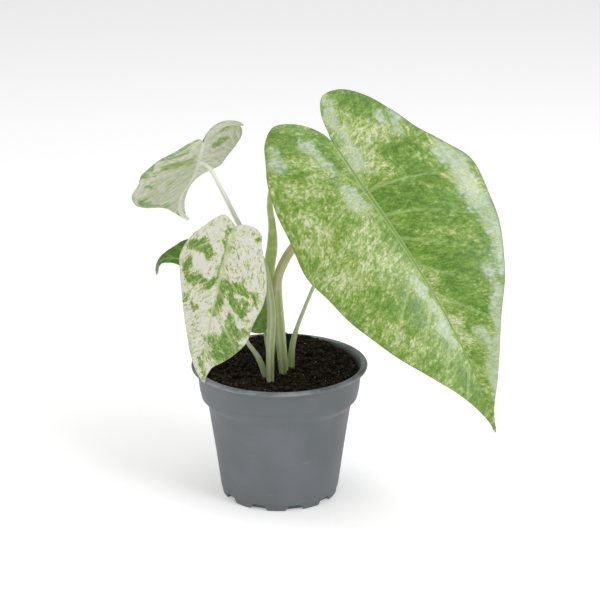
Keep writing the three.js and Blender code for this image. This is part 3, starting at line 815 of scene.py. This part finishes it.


# inside: the deeper green of the painted shade in the sheath's groove or the roll's crease
def stalk_finish(name, foot, middle, head, inside="#8fab55", brim="#dde3c6"):
    made = Finish(name)
    around = made.add("Attribute", {"attribute_name": "around"}, "Vector")
    share = made.add("Attribute", {"attribute_name": "length"}, "Fac")
    fine, long = STALK_RADIUS / LINE_WIDTH, STALK_LENGTH / LINE_LENGTH
    drawn_out = made.add("Mapping", None, Vector=around, Scale=(fine, fine, long))
    lines = made.add("TexNoise", None, Scale=1.0, Detail=2.0, Vector=drawn_out)
    close = STALK_LENGTH / BAND_WIDTH
    drawn_in = made.add("Mapping", None, Vector=around, Scale=(0.32, 0.32, close))
    bands = made.add("TexNoise", None, Scale=1.0, Detail=3.0, Vector=drawn_in)
    lower = made.add("MapRange", EASE, Value=share, From_Min=0.1, From_Max=0.45)
    upper = made.add("MapRange", EASE, Value=share, From_Min=0.45, From_Max=0.9)
    color = made.add("Mix", MIX, 2, i0=lower, i6=foot, i7=middle)
    color = made.add("Mix", MIX, 2, i0=upper, i6=color, i7=head)
    for grain, tone, part in ((lines, "#7f9a48", 0.3), (bands, "#e6e8d4", 0.35)):
        seen = made.add("MapRange", EASE, Value=grain, From_Min=0.45, From_Max=0.7, To_Max=part)
        color = made.add("Mix", MIX, 2, i0=seen, i6=color, i7=tone)
    # The groove takes a painted shade, and the papery wings are paler
    for key, tone, part in (("groove", inside, 0.7), ("wings", brim, 0.75)):
        seen = made.add("Attribute", {"attribute_name": key}, "Fac")
        seen = made.add("Math", TIMES, i0=seen, i1=part)
        color = made.add("Mix", MIX, 2, i0=seen, i6=color, i7=tone)
    bump = made.add("Bump", None, Strength=0.2, Distance=LINE_RELIEF * MM, Height=lines)
    made.set(Base_Color=color, Roughness=0.42, IOR=1.42, Normal=bump,
             Subsurface_Weight=0.15, Subsurface_Scale=STALK_GLOW * MM,
             Subsurface_Radius=(0.7, 1.0, 0.3))
    return made.material


make_stalk("big_leaf", stalk_finish(
    "juicy_stalk_tan_olive", "#c0cf90", "#c9c592", "#bdb47e", inside="#96b258"))
make_stalk("pale_leaf", stalk_finish(
    "juicy_stalk_whitish_green", "#bfcb95", "#c6d0a4", "#f0f2e6", inside="#a2b676",
    brim="#e4e8d0"))
make_stalk("front_leaf", stalk_finish(
    "juicy_stalk_light_green", "#cdd8aa", "#d2dbb4", "#d8dfc0"))
make_stalk("small_leaf", stalk_finish(
    "juicy_stalk_yellow_green", "#c2ce9a", "#bccb90", "#adbd7a"))
make_stalk("rear_leaf", stalk_finish(
    "juicy_stalk_fresh_green", "#c0d596", "#d0dab0", "#cdd5b2", inside="#a6c474"))
# Its crease beside the lapping margin is painted deep green, as shade
make_new_leaf(stalk_finish(
    "rolled_leaf_fresh_green", "#bdd18c", "#aac764", "#bdd07e", inside="#6c9433",
    brim="#e2ecb8"))

# Pot: polypropylene, injection moulded with a fine matt texture. The steel mould's texture
# scatters the light, so the plastic is matt, with its lip rubbed a little paler.
POT_SIDES = 128
NOTCHES, FIRST_NOTCH = 10, 15
NOTCH_WIDTH, NOTCH_TOP_WIDTH = 12, 8
NOTCH_HEIGHT, NOTCH_REACH, NOTCH_LENGTH = 3.9, 35.5, 8
NOTCH_START = -1
# The profile as radius and height: up the outside from the floor's middle, over the lip and
# down the inside to the floor
POT_PROFILE = [
    (22, 0), (23.5, 2), (33, 2), (34, 0), (38.7, 0), (39.3, 0.3), (39.7, 1), (39.8, 4.1),
    (40.1, 4.7), (40.6, 5.1), (44, 31), (49.0, 65.4), (49.5, 66.6), (50.4, 67.6), (52.6, 69.9),
    (53.3, 70.7), (53.6, 71.6), (54.0, 74.9), (54.05, 75.2), (54.4, 75.4), (54.5, 75.8),
    (55.9, 88.8), (56.3, 89.9), (57.2, 90.5), (59.1, 90.9), (59.7, 91.2), (60, 91.8),
    (60, 92.5), (59.7, 93.1), (59.2, 93.3), (56.6, 93.3), (55.8, 93), (55.4, 92.3),
    (54.6, 88), (53, 75.3), (52.3, 71), (48.2, 66), (39.4, 6), (38.9, 4.2), (38.2, 3.2),
]


def turn_pot():
    """The pot's shell: a ring is drawn out from each place of the profile to the next."""
    deselect()
    radius, height = POT_PROFILE[0]
    bpy.ops.mesh.primitive_circle_add(vertices=POT_SIDES, radius=radius * MM)
    shell = bpy.context.object
    shell.name = shell.data.name = "pot_visual"
    bpy.ops.object.mode_set(mode="EDIT")
    for next_radius, next_height in POT_PROFILE[1:]:
        rise = (0, 0, (next_height - height) * MM)
        wider = next_radius / radius
        bpy.ops.mesh.extrude_region_move(TRANSFORM_OT_translate={"value": rise})
        bpy.ops.transform.resize(value=(wider, wider, 1), center_override=(0, 0, next_height * MM))
        radius, height = next_radius, next_height
    # The floor is closed below and above
    bpy.ops.mesh.select_all(action="SELECT")
    bpy.ops.mesh.fill_holes(sides=0)
    clean(shell)
    return shell


def make_notch_cutter():
    """A block with its upper edges cut back, as wide and high as a drainage notch."""
    deselect()
    bpy.ops.mesh.primitive_cube_add(size=1)
    cutter = bpy.context.object
    points = places(cutter)
    top = points[:, 2] > 0
    points[:, 0] *= np.where(top, NOTCH_TOP_WIDTH, NOTCH_WIDTH + 2)
    points[:, 1] = (points[:, 1] - 0.5) * NOTCH_LENGTH - NOTCH_REACH
    points[:, 2] = np.where(top, NOTCH_HEIGHT, NOTCH_START)
    move_to(cutter, points * MM)
    bevel = cutter.modifiers.new("round", "BEVEL")
    bevel.width = 0.5 * MM
    bevel.segments = 2
    apply_modifiers(cutter)
    return cutter


def make_pot(finish):
    pot = turn_pot()
    cutter = make_notch_cutter()
    for i in range(NOTCHES):
        cutter.rotation_euler = (0, 0, math.radians(FIRST_NOTCH + 360 / NOTCHES * i))
        cut = pot.modifiers.new("notch", "BOOLEAN")
        cut.operation = "DIFFERENCE"
        cut.solver = "EXACT"
        cut.object = cutter
        apply_modifiers(pot)
    bpy.data.objects.remove(cutter)
    smooth(pot, 35)
    finish_piece(pot, "pot", "pot_plastic", finish)


LIP_FOOT, LIP_TOP = 89.5, 92.5
TOOL_GRAIN, CLOUDING, SCUFF = 0.6, 30, 16
TOOL_RELIEF = 0.2


def pot_finish():
    made = Finish("moulded_matt_polypropylene_grey_blue")
    place = made.add("TexCoord", None, "Object")
    height = made.add("SeparateXYZ", None, "Z", Vector=place)
    grain = made.add("TexNoise", None, Vector=place, Scale=1 / (TOOL_GRAIN * MM), Detail=2.0)
    cloud = made.add("TexNoise", None, Vector=place, Scale=1 / (CLOUDING * MM), Detail=2.0)
    drawn_in = made.add("Mapping", None, Vector=place, Scale=(1, 1, 5))
    scuff = made.add("TexNoise", None, Vector=drawn_in, Scale=1 / (SCUFF * MM), Detail=4.0,
                     Roughness=0.7)
    cloudy = made.add("MapRange", EASE, Value=cloud, From_Min=0.35, From_Max=0.65)
    color = made.add("Mix", MIX, 2, i0=cloudy, i6="#656b6e", i7="#6d7277")
    # The lip is rubbed paler, and a little dust lies on the whole
    lip = made.add("MapRange", EASE, Value=height, From_Min=LIP_FOOT * MM,
                   From_Max=LIP_TOP * MM)
    rubbed = made.add("MapRange", EASE, Value=scuff, From_Min=0.35, From_Max=0.65, To_Max=0.55)
    rubbed = made.add("Math", TIMES, i0=lip, i1=rubbed)
    color = made.add("Mix", MIX, 2, i0=rubbed, i6=color, i7="#a9afb4")
    dust = made.add("MapRange", EASE, Value=scuff, From_Min=0.62, From_Max=0.75, To_Max=0.12)
    color = made.add("Mix", MIX, 2, i0=dust, i6=color, i7="#b9bcbb")
    bump = made.add("Bump", None, Strength=0.15, Distance=TOOL_RELIEF * MM, Height=grain)
    made.set(Base_Color=color, Roughness=0.55, IOR=1.49, Specular_IOR_Level=0.4, Normal=bump)
    return made.material


make_pot(pot_finish())

# Soil: moist peat with bark, wood fibre and perlite. Wet peat is nearly black and dull.
SOIL_LEVEL, SOIL_SLOPE = 89, 0.07
SOIL_BOTTOM = 3.5
SOIL_REACH, SOIL_EDGE = 53.3, (54.0, 86.2)
SOIL_SIDE = [(37.9, 3.5), (39.1, 6.3), (47.9, 66.3), (52.0, 71.3), (52.7, 75.6), (53.8, 84.5)]
SOIL_TURNS, SOIL_RINGS = 220, 64
CRUMB_REACH = 52.6
# How often a crumb's ball is divided
GRIT, LUMP = 1, 2
FIBRE, FIBRE_RELIEF, DAMP_PATCH = 1.3, 0.8, 8


def soil_height(x, y):
    """The soil's surface: it rises to the back, with a mound in front and two hollows."""
    def bump(cx, cy, spread, height):
        return height * np.exp(-((x - cx) ** 2 + (y - cy) ** 2) / spread**2)

    return (SOIL_LEVEL + SOIL_SLOPE * y + bump(4, 50, 26, 3.4) + bump(16, -20, 13, 2.2)
            + bump(-32, -2, 17, -3) + bump(34, 6, 16, -2.6)
            + 0.7 * np.sin(0.31 * x + 1) * np.sin(0.27 * y))


def make_soil(finish):
    """The soil's body: rings from its middle out over the surface, then down the pot's wall."""
    rows = SOIL_RINGS + len(SOIL_SIDE) + 1
    piece = flat_grid("soil_visual", SOIL_TURNS, rows)
    grid = places(piece)
    row = np.rint((grid[:, 1] + 1) / 2 * rows).astype(int)
    angle = (grid[:, 0] + 1) * np.pi
    side = np.array([SOIL_EDGE, *reversed(SOIL_SIDE), (0, SOIL_BOTTOM)])
    on_top = row < SOIL_RINGS
    place = np.maximum(row - SOIL_RINGS, 0)
    radius = np.where(on_top, SOIL_REACH * (row / (SOIL_RINGS - 1)) ** 0.8, side[place, 0])
    x, y = radius * np.cos(angle), radius * np.sin(angle)
    ground = np.stack([x, y, np.zeros(len(x))], -1)
    rough = 1.0 * lumps(ground, 7, 3) + 0.8 * lumps(ground, 2.6, 5) + 0.4 * lumps(ground, 1.2, 9)
    height = np.where(on_top, soil_height(x, y) + rough - 0.4, side[place, 1])
    move_to(piece, np.stack([x, y, height], -1) * MM)
    clean(piece)
    smooth(piece, 80)
    finish_piece(piece, "soil", "potting_soil", finish)


def make_crumbs(name, count, sizes, subdivisions, seed, finish, flat=1.0):
    """Scatters copies of one crumb over the soil, each turned, squashed and half sunk."""
    draw = random.Random(seed)
    deselect()
    bpy.ops.mesh.primitive_ico_sphere_add(subdivisions=subdivisions, radius=1)
    crumb = bpy.context.object
    points = places(crumb)
    points = points * (1 + 0.28 * lumps(points * 2, 1.1, seed))[:, None]
    if subdivisions == GRIT:
        points = points * (1.0, 0.8, 0.7)
    move_to(crumb, points)
    store(crumb, "tone", np.zeros(len(points)))
    copies = []
    for i in range(count):
        reach = CRUMB_REACH * math.sqrt(draw.random())
        turn = draw.uniform(0, 2 * math.pi)
        x, y = reach * math.cos(turn), reach * math.sin(turn)
        size = draw.uniform(*sizes) * draw.uniform(0.6, 1)
        stretch = draw.uniform(0.8, 1.5), draw.uniform(0.7, 1.1), draw.uniform(0.5, 1) * flat
        angle, axis = draw.uniform(0, 6.28), Vector((draw.random(), draw.random(), 1))
        z = float(soil_height(x, y)) + size * draw.uniform(-0.1, 0.35)
        squash = Matrix.Diagonal([part * size / 2 * MM for part in stretch])
        spin = Matrix.Rotation(-angle, 3, axis)
        copy = crumb.copy()
        copy.data = crumb.data.copy()
        copy.data.transform(Matrix.Translation(mm(x, y, z)) @ (spin @ squash).to_4x4())
        copy.data.attributes["tone"].data.foreach_set("value", [draw.random()] * len(points))
        bpy.context.collection.objects.link(copy)
        copies.append(copy)
    bpy.data.objects.remove(crumb)
    pick(copies[0])
    for copy in copies:
        copy.select_set(True)
    bpy.ops.object.join()
    piece = bpy.context.object
    piece.name = piece.data.name = name
    smooth(piece, 50)
    finish_piece(piece, None, "potting_soil", finish)


def soil_finish(name, dark, mid, light, roughness=0.95):
    made = Finish(name)
    place = made.add("TexCoord", None, "Object")
    tone = made.add("Attribute", {"attribute_name": "tone"}, "Fac")
    fleck = made.add("TexNoise", None, Vector=place, Scale=1 / (FIBRE * MM), Detail=3.0,
                     Roughness=0.7)
    cloud = made.add("TexNoise", None, Vector=place, Scale=1 / (DAMP_PATCH * MM), Detail=2.0)
    half = made.add("Math", TIMES, i0=cloud, i1=0.6)
    mixed = made.add("Math", TIMES_PLUS, i0=tone, i1=0.5, i2=half)
    paler = made.add("MapRange", EASE, Value=mixed, From_Min=0.2, From_Max=0.8)
    color = made.add("Mix", MIX, 2, i0=paler, i6=dark, i7=mid)
    seen = made.add("MapRange", EASE, Value=fleck, From_Min=0.53, From_Max=0.7, To_Max=0.55)
    color = made.add("Mix", MIX, 2, i0=seen, i6=color, i7=light)
    bump = made.add("Bump", None, Strength=0.8, Distance=FIBRE_RELIEF * MM, Height=fleck)
    made.set(Base_Color=color, Roughness=roughness, Specular_IOR_Level=0.25, Normal=bump)
    return made.material


# Nearly black, with brown fibres. Bark shows as brown chips, and perlite as pale specks.
peat = soil_finish("moist_peat", "#0d0a08", "#382c22", "#857461")
bark = soil_finish("shredded_bark", "#3a2a1d", "#5b442f", "#7d6547")
perlite = soil_finish("perlite_specks", "#8d8677", "#b5ad9a", "#d8d2c4", 0.8)
make_soil(peat)
make_crumbs("soil_crumbs", 900, (1.4, 4.2), LUMP, 4, peat)
make_crumbs("soil_grit", 1300, (0.7, 1.8), GRIT, 8, peat)
make_crumbs("soil_bark", 90, (1.5, 3.6), GRIT, 15, bark, 0.5)
make_crumbs("soil_perlite", 110, (0.6, 1.7), GRIT, 23, perlite)


# Stage: a pale floor and soft light, with a large soft lamp on the right. Places and lamp
# sizes are in metres, and powers in watts.
def add_lamp(name, place, size, power, color="#ffffff"):
    data = bpy.data.lights.new(name, "AREA")
    data.shape = "SQUARE"
    data.size = size
    data.energy = power
    data.color = linear(color)[:3]
    lamp = bpy.data.objects.new(name, data)
    lamp.location = place
    lamp.rotation_euler = (AIM - Vector(place)).to_track_quat("-Z", "Y").to_euler()
    bpy.context.collection.objects.link(lamp)


def set_stage():
    deselect()
    bpy.ops.mesh.primitive_plane_add(size=12, location=(0, 0, 0))
    floor = bpy.context.object
    floor.name = "floor"
    made = Finish("matt_white_paper")
    made.set(Base_Color="#f4f4f4", Roughness=0.9, Emission_Color="#ffffff",
             Emission_Strength=0.34)
    floor.data.materials.append(made.material)
    world = bpy.data.worlds.new("studio")
    bpy.context.scene.world = world
    world.use_nodes = True
    sky = world.node_tree.nodes["Background"]
    sky.inputs["Color"].default_value = linear("#ffffff")
    sky.inputs["Strength"].default_value = 0.42
    add_lamp("key_right", (1.1, -0.9, 1.5), 0.9, 19, "#fbfbff")
    add_lamp("fill_left", (-1.4, -1.0, 0.9), 1.2, 5, "#fff8ea")
    add_lamp("top", (0, 0.3, 1.9), 1.2, 8)


set_camera()
set_stage()
